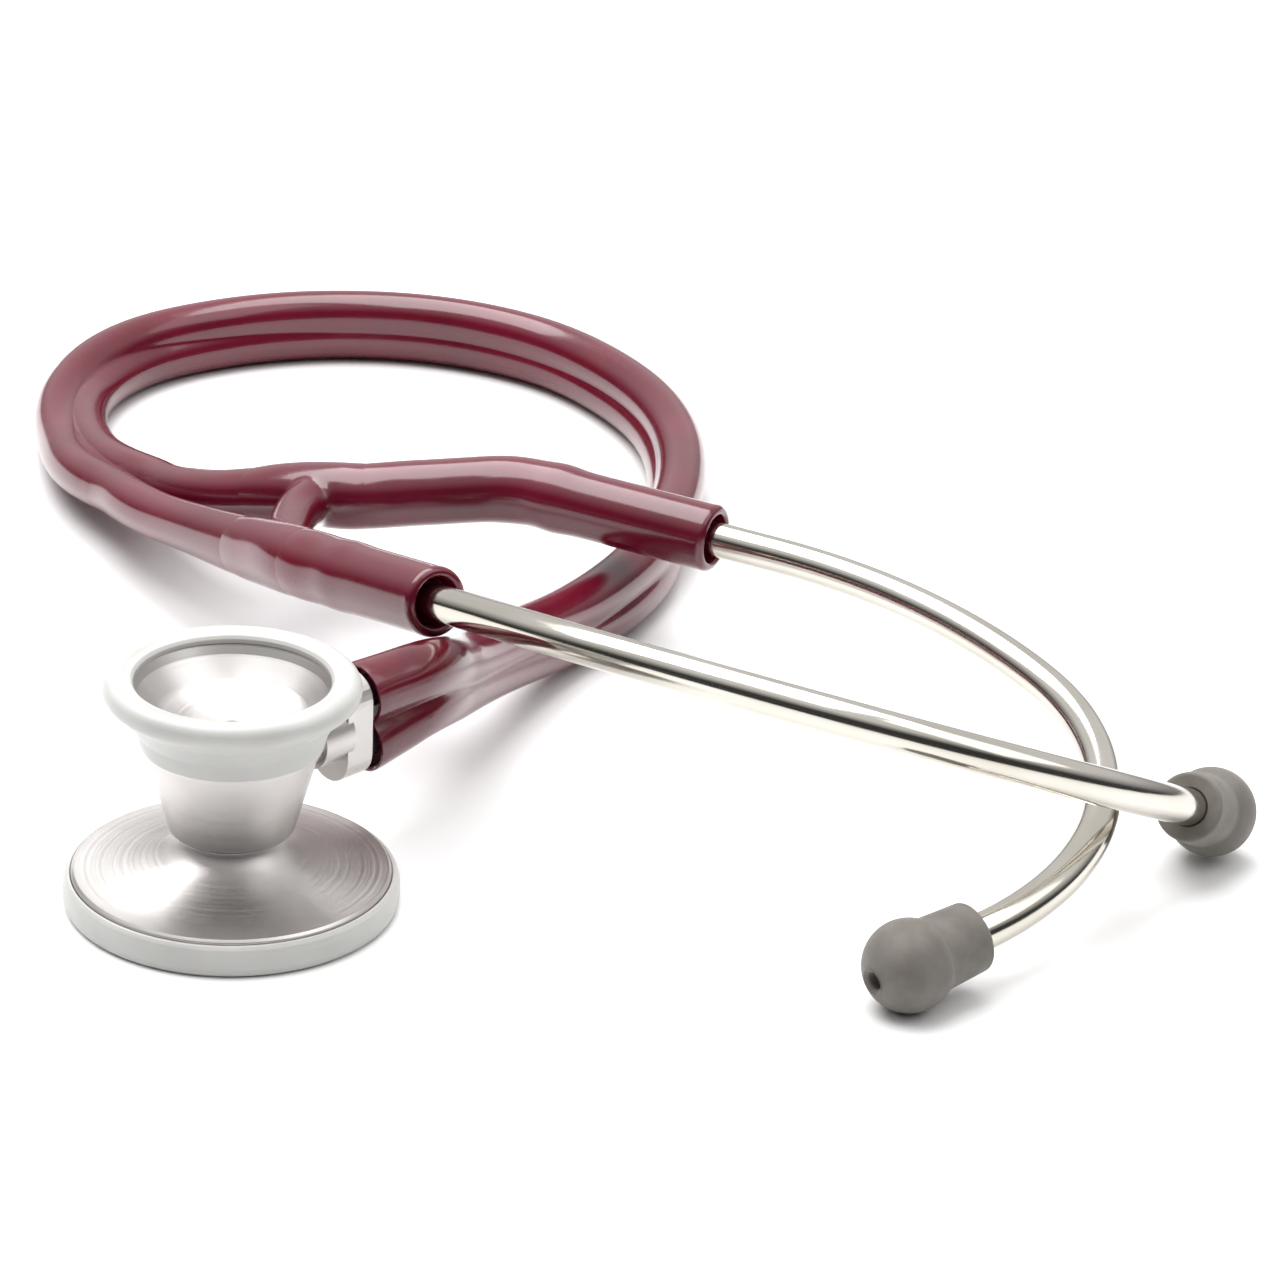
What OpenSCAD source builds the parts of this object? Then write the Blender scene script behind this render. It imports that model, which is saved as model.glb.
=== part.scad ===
// Cardiology stethoscope with a two-sided chestpiece, twin-bore tubing and a sprung yoke.
// Origin: centre of the diaphragm's outer face. +Z up through the bell, +Y towards the loop of tubing.

/* [Chestpiece] */
// Outer diameter of the diaphragm rim
rim_d = 48; // [46:0.5:50]
// Height of the stem axis above the diaphragm face
stem_z = 21; // [20.5:0.1:21.5]
// Direction of the stem in plan, degrees from +X
stem_az = 47; // [40:1:55]
// Outer diameter of the bell's soft ring
bell_d = 36.4; // [35.5:0.1:37]
// Height of the top of the bell ring
bell_top = 35.4; // [34.5:0.1:36.5]

/* [Tubing] */
// Outer diameter of one bore of the twin tube
lobe_d = 8.4; // [8:0.1:8.8]
// Centre spacing of the two bores along the free tube
lobe_gap = 4.2; // [3.8:0.1:4.6]
// Diameter of the twin tube where it is stretched over the nipples
socket_d = 9.4; // [9:0.1:9.8]
// Centre spacing of the two nipples
nipple_gap = 8; // [7.5:0.1:8.4]
// Diameter of each single branch of the yoke
branch_d = 7.8; // [7.6:0.1:8.2]

/* [Headset] */
// Outer diameter of the ear pipes
pipe_d = 5.6; // [5.2:0.1:6]
// Wall thickness of the ear pipes
pipe_wall = 0.7; // [0.5:0.1:0.9]
// Length of the first straight run outside the leg
pipe_run = 13; // [12:0.5:15]
// Radius of the long bend
long_bend_r = 100; // [95:1:105]
// Angle of the long bend
long_bend = 32; // [30:1:34]
// Radius of the tight bend
tight_bend_r = 48; // [46:1:50]
// Angle of the tight bend
tight_bend = 84; // [80:1:88]
// Outer diameter of the yoke's legs
leg_d = 11.2; // [11:0.1:11.6]
// Length of pipe held inside a leg
pipe_grip = 26; // [22:1:26]
// Diameter of the ear tip's dome
dome_d = 13.3; // [12.5:0.1:14]

/* [Hidden] */
$fn = 96;
eps = 0.01;

// Radial clearance of a part that turns in another
run_fit = 0.05;
// Distances along the stem from the chestpiece axis
stem_blind = -8;
stem_shoulder = 14;
block_start = 18.6;
block_end = 23.4;
socket_start = 24.6;
socket_end = 34.6;
nipple_end = 32.6;
stem_r = 4;
nipple_r = 2.5;
seal_x = [-3.65, 3.75];
// Place of the detent ball along the stem and away from its axis
ball_x = 6.8;
ball_r = 1;
ball_reach = 4.3;
channel_r = 1.5;
neck_r = 6.8;

// Free tube, by hand: x, y, z, lean of the upper bore towards the inside of the loop, bore spacing
tube_route = [[27.2, 32.4, 20.3, 0, 5], [29.4, 42, 16.9, 0, 4.3], [32.6, 54, 13.6, 0, lobe_gap],
    [38.5, 69.5, 10, 0, lobe_gap], [44.5, 82.5, 7.4, 5, lobe_gap], [51, 95, 6.5, 12, lobe_gap],
    [56.4, 108, 6.4, 10, lobe_gap], [60.2, 126, 6.4, -10, lobe_gap], [61.8, 147, 6.3, -22, lobe_gap],
    [60.6, 163, 6.3, -20, lobe_gap], [56.4, 178, 6.4, -12, lobe_gap], [49, 191.5, 6.4, -6, lobe_gap],
    [38.5, 203.5, 6.4, 0, lobe_gap], [26, 211, 6.4, 0, lobe_gap], [13, 214.5, 6.4, 0, lobe_gap],
    [0, 214.5, 6.4, 0, lobe_gap], [-12.5, 211.5, 6.4, -5, lobe_gap], [-24.5, 205.6, 6.3, -12, lobe_gap],
    [-34.5, 197.2, 6.2, -25, lobe_gap], [-41.2, 186.2, 5.8, -45, lobe_gap],
    [-44, 172.8, 5.1, -70, lobe_gap], [-41.9, 157, 5.2, -88, 4.8], [-36.5, 140.5, 7.2, -90, 6.6],
    [-28, 127, 9.5, -90, 8.2]];
// Where the stretched end gives way to the free tube: bore spacing, diameter and rise
socket_neck = [6.2, 9, 0.7];
// The two branches of the yoke, by hand, from the split to the bridge
front_route = [[-27.8, 117.6, 10.8], [-22.3, 108.6, 12.4], [-16.8, 100.6, 14.2],
    [-10.3, 91.3, 16.4], [-5, 83.6, 18.4], [-0.5, 76.4, 20.6]];
back_route = [[-21.1, 123.2, 11], [-17, 117.8, 12.9], [-12, 113, 14.8], [-6.8, 109.5, 16.5],
    [-1.2, 106.4, 18.2], [4.4, 104, 19.3]];
// Ends of the legs, and how each leg points there: roll, rise and direction in degrees
front_end = [26.6, 41, 29.4];
front_turn = [-24.5, 10.5, -51];
back_end = [68, 88.8, 21];
back_turn = [-25.8, -1, -26.5];
// How far each pipe is turned in its leg
front_twist = 0;
back_twist = 34.3;
// Length of the front leg
front_leg = 36.5;
// The back leg from its end: straight, bend radius and angle, straight again to its hinge, roll of the bend
back_straight = 30;
back_bend_r = 20;
back_bend = 33;
back_run = 19.5;
back_roll = 8.2;
// How much deeper the back pipe is pushed into its leg than the front one
back_push = 2.8;
hinge_r = 5;
hinge_gap = 0.4;
hinge_back = 2.5;

function unit(v) = v / norm(v);
function xyz(p) = [p[0], p[1], p[2]];
function heading(turn) = [cos(turn[1]) * cos(turn[2]), cos(turn[1]) * sin(turn[2]), sin(turn[1])];
function along_stem(x) = [x * cos(stem_az), x * sin(stem_az), stem_z];

// Catmull-Rom curve through the rows of a list, with the given steps to each span
function span_point(a, b, c, d, t) = 0.5 * (2 * b + (c - a) * t + (2 * a - 5 * b + 4 * c - d) * t * t
    + (3 * b - a - 3 * c + d) * t * t * t);
function at(p, i) = i < 0 ? 2 * p[0] - p[1] : i >= len(p) ? 2 * p[len(p) - 1] - p[len(p) - 2] : p[i];
function curve(p, steps) = concat(
    [for (i = [0 : len(p) - 2], k = [0 : steps - 1])
        span_point(at(p, i - 1), p[i], p[i + 1], at(p, i + 2), k / steps)], [p[len(p) - 1]]);

// Frame of a ring: the way the path runs, the level side to its left, and the way up
function tangent(p, i) = unit(xyz(p[min(i + 1, len(p) - 1)]) - xyz(p[max(i - 1, 0)]));
function left_of(t) = unit(cross([0, 0, 1], t));
function ring(c, t, r, sides) = let (s = left_of(t), u = cross(t, s))
    [for (k = [0 : sides - 1]) c + r * (cos(360 * k / sides) * s + sin(360 * k / sides) * u)];
// Ring of the twin tube: six points round each bore, the upper bore leaning by the given angle
function twin_ring(c, t, lean, gap, d) = let (s = left_of(t), u = cross(t, s),
        a = cos(lean) * u + sin(lean) * s, b = cos(lean) * s - sin(lean) * u)
    [for (h = [1, -1], k = [0 : 5]) let (w = h * (k - 2.5) * 39)
        c + h * gap / 2 * a + d / 2 * (h * cos(w) * a - sin(w) * b)];

// Closed skin over a list of rings
module skin(rings) {
    n = len(rings[0]);
    m = len(rings);
    polyhedron(
        points = [for (r = rings, p = r) p],
        faces = concat(
            [[for (k = [0 : n - 1]) k]],
            [for (i = [0 : m - 2], k = [0 : n - 1])
                [i * n + k, (i + 1) * n + k, (i + 1) * n + (k + 1) % n, i * n + (k + 1) % n]],
            [[for (k = [n - 1 : -1 : 0]) (m - 1) * n + k]]),
        convexity = 6);
}

module on_stem(x = 0) {
    translate(along_stem(x)) rotate([0, 90, stem_az]) children();
}

module at_leg(end, turn) {
    translate(end) rotate([turn[0], -turn[1], turn[2]]) children();
}

// Turned shape round the local X axis: rows of distance along X and radius
module turned(rows) {
    rotate([0, 90, 0]) rotate_extrude() polygon([for (q = rows) [q[1], q[0]]]);
}

/* Chestpiece */

module chestpiece_body() {
    trumpet = [for (a = [0 : 7.5 : 90]) [22.4 - (22.4 - neck_r) * sin(a), 11.4 - 6 * cos(a)]];
    color([0.80, 0.79, 0.77]) difference() {
        rotate_extrude() polygon(concat([[0, 1.4], [22.1, 1.4], [22.1, 3.6], [22.8, 3.6], [22.8, 5]],
            trumpet, [[8.6, 11.6], [9, 12], [12.45, 24.6], [12.6, 25], [13.2, 28], [14.6, 31],
            [16.2, 32.6], [16.2, 33.8], [14.3, 33.8], [13.4, 32.4], [10.5, 29.4], [6, 28],
            [0, 27.6]]));
        translate([0, 0, 1.4 - eps]) cylinder(h = 2.4, r1 = 20.3, r2 = 3);
        translate([0, 0, 2]) cylinder(h = 26, r = channel_r);
        on_stem(stem_blind) cylinder(h = 30, r = stem_r + run_fit / 2);
        on_stem(ball_x) rotate([-90, 0, 0]) cylinder(h = 8, r = ball_r + run_fit);
        on_stem(ball_x) rotate([-90, 0, 0]) translate([0, 0, 7.4]) cylinder(h = 6, r = 1.5);
    }
}

module bell_ring() {
    crest = [for (a = [-50 : 10 : 120]) [bell_d / 2 - 1.9 + 1.9 * cos(a), bell_top - 1.9 + 1.9 * sin(a)]];
    color([0.86, 0.88, 0.86]) rotate_extrude() polygon(concat(
        [[12.6, 25], [12.95, 25], [13.7, 27.6], [15.2, 30.2], [17, 31.8]], crest,
        [[14.3, 35], [13.9, 34.5], [13.9, 33.8], [16.2, 33.8], [16.2, 32.6], [14.6, 31], [13.2, 28]]));
}

module diaphragm() {
    color([0.9, 0.9, 0.88]) rotate_extrude() polygon([[0, 0], [20, 0], [20.5, 0.5], [22, 0.5],
        [22, 0.85], [20.3, 0.85], [19.8, 0.35], [0, 0.35]]);
}

module diaphragm_gasket() {
    color([0.2, 0.2, 0.2]) rotate_extrude() translate([20.7, 0.85]) square([1.3, 0.55]);
}

module rim_ring() {
    r = rim_d / 2;
    color([0.84, 0.85, 0.84]) rotate_extrude() polygon([[20.6, 0], [r - 0.9, 0], [r - 0.3, 0.4],
        [r, 1.3], [r, 3.4], [r - 0.25, 4.3], [r - 0.7, 4.8], [23, 4.8], [23, 3.6], [22.1, 3.6],
        [22.1, 0.5], [20.6, 0.5]]);
}

// Ring-shaped groove cut into the stem down to radius r, from x to x + wide
module stem_groove(x, wide, r) {
    on_stem(x) difference() {
        cylinder(h = wide, r = 6);
        translate([0, 0, -1]) cylinder(h = wide + 2, r = r);
    }
}

module valve_stem() {
    barrel = stem_r - run_fit / 2;
    color([0.75, 0.75, 0.76]) difference() {
        union() {
            on_stem(stem_blind + 0.4) cylinder(h = stem_shoulder - stem_blind, r = barrel);
            on_stem(stem_shoulder) cylinder(h = block_start - stem_shoulder + 1, r = 4.6);
            on_stem(block_start) hull() for (h = [1, -1])
                translate([h * nipple_gap / 2, 0, 0]) cylinder(h = block_end - block_start, r = 4, $fn = 32);
            for (h = [1, -1]) translate([0, 0, h * nipple_gap / 2])
                on_stem(block_end - 1) cylinder(h = nipple_end - block_end + 1, r = nipple_r);
        }
        on_stem(-channel_r) cylinder(h = block_start + 2.5 + channel_r, r = channel_r);
        on_stem(0) rotate([0, 90, 0]) cylinder(h = 10, r = channel_r - 0.1);
        on_stem(block_start + 1.5) translate([-nipple_gap / 2, 0, 0]) rotate([0, 90, 0])
            cylinder(h = nipple_gap, r = channel_r - 0.2);
        for (h = [1, -1]) translate([0, 0, h * nipple_gap / 2])
            on_stem(block_start + 1) cylinder(h = 30, r = channel_r);
        for (x = seal_x) stem_groove(x - 0.55, 1.1, 3);
        stem_groove(ball_x - 1.1, 2.2, ball_reach - ball_r - 0.1);
    }
}

module stem_seals() {
    color([0.15, 0.15, 0.15]) for (x = seal_x)
        on_stem(x) rotate_extrude() translate([3.5, 0]) circle(r = 0.47, $fn = 32);
}

module detent_ball() {
    color([0.7, 0.7, 0.72]) on_stem(ball_x) translate([0, ball_reach, 0]) sphere(r = ball_r, $fn = 48);
}

// Coil of four turns between the ball and the screw
module detent_spring() {
    turns = 4;
    from = ball_reach + ball_r + 0.1;
    to = 7.3;
    wire = 0.15;
    color([0.6, 0.6, 0.6]) on_stem(ball_x) rotate([-90, 0, 0])
        skin([for (i = [0 : turns * 12]) let (a = 30 * i, z = from + wire + (to - from - 2 * wire) * i
            / (turns * 12)) [for (k = [0 : 7]) let (w = 0.75 + wire * cos(45 * k))
            [w * cos(a), w * sin(a), z + wire * sin(45 * k)]]]);
}

module detent_screw() {
    color([0.6, 0.6, 0.62]) on_stem(ball_x) rotate([-90, 0, 0]) difference() {
        translate([0, 0, 7.4]) cylinder(h = 1.7, r = 1.5);
        translate([0, 0, 8.2]) cylinder(h = 2, r = 0.75, $fn = 6);
    }
}

/* Tubing and yoke */

// End of the tubing, stretched over the two nipples
module tube_socket() {
    way = heading([0, 0, stem_az]);
    color([0.48, 0.09, 0.17]) difference() {
        skin([for (t = [0 : 0.25 : 1])
            twin_ring(along_stem(socket_start + (socket_end - socket_start) * t) + [0, 0, socket_neck[2] * t],
                way, 0, nipple_gap + (socket_neck[0] - nipple_gap) * t,
                socket_d + (socket_neck[1] - socket_d) * t)]);
        for (h = [1, -1]) translate([0, 0, h * nipple_gap / 2])
            on_stem(socket_start - 1) cylinder(h = nipple_end - socket_start + 1.2, r = nipple_r + eps);
    }
}

module main_tube() {
    start = along_stem(socket_end) + [0, 0, socket_neck[2]];
    rows = curve(concat([concat(start, [0, socket_neck[0]])], tube_route), 3);
    color([0.48, 0.09, 0.17]) skin([for (i = [0 : len(rows) - 1]) let (q = rows[i],
        wide = socket_neck[1] + (lobe_d - socket_neck[1]) * min(1, i / 9))
        twin_ring(xyz(q), i == 0 ? heading([0, 0, stem_az]) : tangent(rows, i), q[3], q[4], wide)]);
}

split = tube_route[len(tube_route) - 1];
split_way = tangent(curve(tube_route, 3), 3 * (len(tube_route) - 1));
split_side = left_of(split_way);
front_hinge = front_end - front_leg * heading(front_turn);
front_way = heading(front_turn);
// Place and heading of the back hinge, worked back along the leg
function back_frame(x, y) = let (t = back_turn, u = [-sin(t[2]), cos(t[2]), 0], w = cross(heading(t), u))
    x * heading(t) + y * (cos(back_roll) * u + sin(back_roll) * w);
back_way = back_frame(cos(back_bend), sin(back_bend));
back_hinge = back_end + back_frame(-back_straight - back_bend_r * sin(back_bend),
    -back_bend_r * (1 - cos(back_bend))) - back_run * back_way;

// How much a branch swells towards its leg, from 0 to 1 along its second half
function swell(t) = let (u = max(0, 2 * t - 1)) u * u * (3 - 2 * u);
function branch_rings(rows) = let (last = len(rows) - 1)
    [for (i = [0 : last]) ring(rows[i], i == 0 ? split_way : tangent(rows, i),
        branch_d / 2 + (hinge_r + hinge_gap - branch_d / 2) * swell(i / last), 20)];

module branch(start, route, hinge, way) {
    skin(branch_rings(curve(concat([start], route, [hinge - hinge_back * way]), 3)));
}

bridge_r = 3.9;
bridge_front = [0.3, 79.5, 19.6];
bridge_back = [2.2, 103, 19.4];

// Both branches and the bridge are moulded in one, and cupped where the legs' round ends sit
module yoke() {
    color([0.48, 0.09, 0.17]) difference() {
        union() {
            branch(xyz(split) - split[4] / 2 * split_side, front_route, front_hinge, front_way);
            branch(xyz(split) + split[4] / 2 * split_side, back_route, back_hinge, back_way);
            hull() for (p = [bridge_front, bridge_back]) translate(p) rotate([90, 0, 0])
                cylinder(h = 1, r = bridge_r, center = true, $fn = 32);
        }
        for (p = [front_hinge, back_hinge]) translate(p) sphere(r = hinge_r + hinge_gap, $fn = 48);
        bow(0.05);
    }
}

// Flat spring steel bow through the bridge
module bow(spare) {
    way = bridge_back - bridge_front;
    translate((bridge_front + bridge_back) / 2) rotate([0, 0, atan2(way[1], way[0])])
        cube([norm(way) + 2 * spare, 0.8 + 2 * spare, 4.4 + 2 * spare], center = true);
}

module leaf_spring_bow() {
    color([0.6, 0.6, 0.62]) bow(0);
}

// One arm of the spring, lying beside the pipe in a leg
module arm(side, spare) {
    translate([-22 - spare, side * 4 - 0.4 - spare, -2.4 - spare])
        cube([16 + 2 * spare, 0.8 + 2 * spare, 4.8 + 2 * spare]);
}

module leaf_spring_front() {
    color([0.6, 0.6, 0.62]) at_leg(front_end, front_turn) arm(-1, 0);
}

module leaf_spring_back() {
    color([0.6, 0.6, 0.62]) at_leg(back_end, back_turn) arm(1, 0);
}

// Straight sleeve of a leg, ending at its own origin and bored for the pipe
module sleeve(long, side, push = 0) {
    r = leg_d / 2;
    difference() {
        turned([[-long, 0], [-long, r - 0.5], [-long + 5, r - 0.35], [-24, r + 0.1], [-20, r],
            [-15, r - 0.1], [-6, r - 0.2], [-1.2, r - 0.3], [-0.3, r - 0.6], [0, r - 1.1], [0, 0]]);
        turned([[-pipe_grip - push - 0.5, 0], [-pipe_grip - push - 0.5, pipe_d / 2 + run_fit],
            [-3.6, pipe_d / 2 + run_fit], [-2.6, 3.7], [1, 3.9], [1, 0]]);
        arm(side, 0.05);
    }
}

module leg_front() {
    color([0.48, 0.09, 0.17]) {
        at_leg(front_end, front_turn) sleeve(front_leg, -1);
        translate(front_hinge) sphere(r = hinge_r, $fn = 48);
    }
}

// The back leg bends on its way to the hinge. Each stretch is a hair thinner than the one it laps into.
module leg_back() {
    hair = 0.02;
    thick = leg_d / 2 - 0.5 - hair;
    color([0.48, 0.09, 0.17]) {
        at_leg(back_end, back_turn) sleeve(back_straight, 1, back_push);
        translate(back_end) rotate([back_roll, -back_turn[1], back_turn[2]])
            translate([-back_straight, 0, 0]) rotate([0, 0, 180]) {
                bend(back_bend_r, back_bend, thick, 1);
                after_bend(back_bend_r, back_bend) translate([-0.3, 0, 0]) rotate([0, 90, 0])
                    cylinder(h = back_run + 0.3, r = thick - hair);
            }
        translate(back_hinge) sphere(r = hinge_r, $fn = 48);
    }
}

/* Headset */

// Turns its children through a bend of radius r that starts at the origin along X
module after_bend(r, angle) {
    translate([0, r, 0]) rotate([0, 0, angle]) translate([0, -r, 0]) children();
}

// Bent rod: radius of the bend, angle, radius of the rod and how many degrees it overruns at each end
module bend(r, angle, rod, over = 0) {
    translate([0, r, 0]) rotate([0, 0, -90 - over]) rotate_extrude(angle = angle + 2 * over)
        translate([r, 0]) circle(r = rod, $fn = 48);
}

// Solid rod along the centreline of an ear pipe, running back into the leg and on into the tip.
// Each stretch is a hair thicker or thinner than the next and laps over it, so that they join.
module pipe_path(r, back, tail) {
    hair = 0.01;
    translate([-back, 0, 0]) rotate([0, 90, 0]) cylinder(h = back + pipe_run + 0.4, r = r, $fn = 48);
    translate([pipe_run, 0, 0]) {
        bend(long_bend_r, long_bend, r - hair);
        after_bend(long_bend_r, long_bend) {
            bend(tight_bend_r, tight_bend, r, 0.5);
            after_bend(tight_bend_r, tight_bend) rotate([0, 90, 0])
                cylinder(h = tail, r = r - hair, $fn = 48);
        }
    }
}

pipe_tail = 2;
tip_grip = 5;

// Frame at the open end of the ear tip's collar, local X along the pipe
module at_tip() {
    translate([pipe_run, 0, 0]) after_bend(long_bend_r, long_bend)
        after_bend(tight_bend_r, tight_bend) translate([pipe_tail, 0, 0]) children();
}

module in_front_leg() {
    at_leg(front_end, front_turn) rotate([front_twist, 0, 0]) children();
}

module in_back_leg() {
    at_leg(back_end, back_turn) translate([-back_push, 0, 0]) rotate([180 + back_twist, 0, 0])
        children();
}

module ear_pipe() {
    color([0.72, 0.71, 0.69]) difference() {
        pipe_path(pipe_d / 2, pipe_grip, pipe_tail + tip_grip);
        pipe_path(pipe_d / 2 - pipe_wall, pipe_grip + 1, pipe_tail + tip_grip + 1);
    }
}

module tip_insert() {
    inside = pipe_d / 2 - pipe_wall - run_fit;
    color([0.7, 0.7, 0.72]) difference() {
        turned([[-1, 0], [-1, inside], [tip_grip, inside], [tip_grip, 3.3], [tip_grip + 0.8, 3.3],
            [tip_grip + 0.8, 2.2], [tip_grip + 1.4, 2.2], [tip_grip + 1.8, 2.7],
            [tip_grip + 2.2, 2.2], [tip_grip + 2.6, 2.7], [tip_grip + 3, 2.2],
            [tip_grip + 3.4, 2.7], [tip_grip + 3.8, 2.2], [tip_grip + 4.2, 2.2], [tip_grip + 4.2, 0]]);
        turned([[-2, 0], [-2, 1.2], [tip_grip + 5, 1.2], [tip_grip + 5, 0]]);
    }
}

// Soft tip: collar, dome and the cavity that takes the pipe's end and the threaded insert
module ear_tip() {
    r = dome_d / 2;
    middle = 11.3;
    color([0.45, 0.44, 0.41]) turned(concat(
        [[0, pipe_d / 2 + run_fit], [0, 4.9], [0.4, 5.2], [6.4, 5.4], [7.3, 5.35]],
        [for (a = [-36 : 9 : 72]) [middle + r * sin(a), r * cos(a)]],
        [[middle + r * sin(79), 1.5], [middle + r * sin(79) - 1.6, 1.3], [9.4, 1.3], [9.4, 2.75],
        [tip_grip + 0.9, 2.75], [tip_grip + 0.9, 3.4], [tip_grip, 3.4],
        [tip_grip, pipe_d / 2 + run_fit]]));
}

module ear_pipe_front() { in_front_leg() ear_pipe(); }
module ear_pipe_back() { in_back_leg() ear_pipe(); }
module tip_insert_front() { in_front_leg() at_tip() tip_insert(); }
module tip_insert_back() { in_back_leg() at_tip() tip_insert(); }
module ear_tip_front() { in_front_leg() at_tip() ear_tip(); }
module ear_tip_back() { in_back_leg() at_tip() ear_tip(); }

chestpiece_body();
bell_ring();
diaphragm();
diaphragm_gasket();
rim_ring();
valve_stem();
stem_seals();
detent_ball();
detent_spring();
detent_screw();
tube_socket();
main_tube();
yoke();
leaf_spring_bow();
leaf_spring_front();
leaf_spring_back();
leg_front();
leg_back();
ear_pipe_front();
ear_pipe_back();
tip_insert_front();
tip_insert_back();
ear_tip_front();
ear_tip_back();
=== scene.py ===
from math import cos, pi, radians, sin
import bmesh
import bpy
import numpy as np
from mathutils import Matrix, Vector


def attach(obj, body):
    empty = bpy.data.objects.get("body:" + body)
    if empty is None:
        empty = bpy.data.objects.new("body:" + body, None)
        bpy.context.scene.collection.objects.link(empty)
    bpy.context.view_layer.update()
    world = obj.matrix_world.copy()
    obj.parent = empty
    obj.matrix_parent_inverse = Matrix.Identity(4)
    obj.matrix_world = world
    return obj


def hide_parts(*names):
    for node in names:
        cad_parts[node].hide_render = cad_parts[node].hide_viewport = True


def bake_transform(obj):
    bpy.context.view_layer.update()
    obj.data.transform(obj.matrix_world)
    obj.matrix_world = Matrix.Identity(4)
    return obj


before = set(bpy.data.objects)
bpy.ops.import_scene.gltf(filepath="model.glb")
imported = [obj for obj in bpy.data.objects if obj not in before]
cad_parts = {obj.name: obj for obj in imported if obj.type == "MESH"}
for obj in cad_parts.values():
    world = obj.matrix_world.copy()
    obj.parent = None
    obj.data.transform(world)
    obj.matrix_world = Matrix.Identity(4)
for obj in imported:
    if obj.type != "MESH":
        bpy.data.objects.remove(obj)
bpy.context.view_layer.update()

mm = 0.001
print("frame loaded")

# the camera looks down on the table from the front with a longish lens, rolled a little
view = dict(place=(0.0567, -0.6156, 0.3240), down=24.5, roll=2.5, angle=15.0, near=0.01)
camera = bpy.data.objects.new("camera", bpy.data.cameras.new("camera"))
camera.data.angle = radians(view["angle"])
camera.data.clip_start = view["near"]
camera.matrix_world = (Matrix.Translation(view["place"])
                       @ Matrix.Rotation(radians(90 - view["down"]), 4, "X")
                       @ Matrix.Rotation(radians(view["roll"]), 4, "Z"))
bpy.context.scene.collection.objects.link(camera)
bpy.context.scene.camera = camera


# every smooth piece is a grid of points, worked out in mm as whole arrays; edges sharper than this
# angle stay creased
creaseAngle = radians(38)


def unit(v):
    # rows scaled to length 1
    return v / np.linalg.norm(v, axis=-1, keepdims=True)


def spline(points, step):
    # natural cubic spline through rows of numbers, with the first three as x, y, z: the second
    # derivatives m solve h m- + 2 (h + h') m + h' m+ = 6 (change of slope), so curvature never jumps
    p = np.asarray(points, float)
    t = np.concatenate([[0], np.cumsum(np.linalg.norm(np.diff(p[:, :3], axis=0), axis=1))])
    h = np.diff(t)[:, None]
    inner = np.arange(1, len(p) - 1)
    a, b = np.eye(len(p)), np.zeros_like(p)
    a[inner, inner - 1], a[inner, inner + 1] = h[:-1, 0], h[1:, 0]
    a[inner, inner] = 2 * (h[:-1, 0] + h[1:, 0])
    b[1:-1] = 6 * (np.diff(p[1:], axis=0) / h[1:] - np.diff(p[:-1], axis=0) / h[:-1])
    m = np.linalg.solve(a, b)
    u = np.linspace(0, t[-1], int(np.ceil(t[-1] / step)) + 1)
    k = np.clip(np.searchsorted(t, u, side="right") - 1, 0, len(p) - 2)
    w = (u - t[k])[:, None] / h[k]
    return ((1 - w) * p[k] + w * p[k + 1]
            + h[k] ** 2 / 6 * (((1 - w) ** 3 - (1 - w)) * m[k] + (w ** 3 - w) * m[k + 1]))


def lengthAlong(path):
    # running sum of the distances between points
    return np.concatenate([[0], np.cumsum(np.linalg.norm(np.diff(path, axis=0), axis=1))])


def rings(path, stations, radii, around):
    # circles carried along a path: at each station the centre is the point at that length, and
    # the ring is centre + r (cos a * left + sin a * up), with left level and up square to the way
    s = lengthAlong(path)
    way = unit(np.gradient(path, s, axis=0))
    at = lambda rows: np.stack([np.interp(stations, s, column) for column in rows.T], -1)
    centre, way = at(path), unit(at(way))
    left = unit(np.cross([0, 0, 1], way))
    up = np.cross(way, left)
    a = 2 * pi * np.arange(around) / around
    r = np.asarray(radii, float)[:, None, None]
    return centre[:, None] + r * (np.cos(a)[:, None] * left[:, None] + np.sin(a)[:, None] * up[:, None])


def bend(corners, steps=6):
    # outline through corners (x, y, radius) where each radius becomes an arc tangent to both sides
    c = np.asarray(corners, float)
    out = [c[0, :2]]
    for before, here, after in zip(c[:-2], c[1:-1], c[2:]):
        if here[2] <= 0:
            out.append(here[:2])
            continue
        a, b = unit(before[:2] - here[:2]), unit(after[:2] - here[:2])
        half = np.arccos(np.clip(a @ b, -1, 1)) / 2
        reach = here[2] / np.tan(half)
        middle = here[:2] + unit(a + b) * here[2] / np.sin(half)
        start, end = here[:2] + a * reach - middle, here[:2] + b * reach - middle
        span, t = pi - 2 * half, np.linspace(0, 1, steps + 1)[:, None]
        out.extend(middle + (np.sin((1 - t) * span) * start + np.sin(t * span) * end) / np.sin(span))
    out.append(c[-1, :2])
    return np.array(out)


def arc(middle, radius, start, end, steps):
    # points middle + radius (cos a, sin a), with a in degrees
    a = np.radians(np.linspace(start, end, steps + 1))
    return np.stack([middle[0] + radius * np.cos(a), middle[1] + radius * np.sin(a)], -1)


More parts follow.
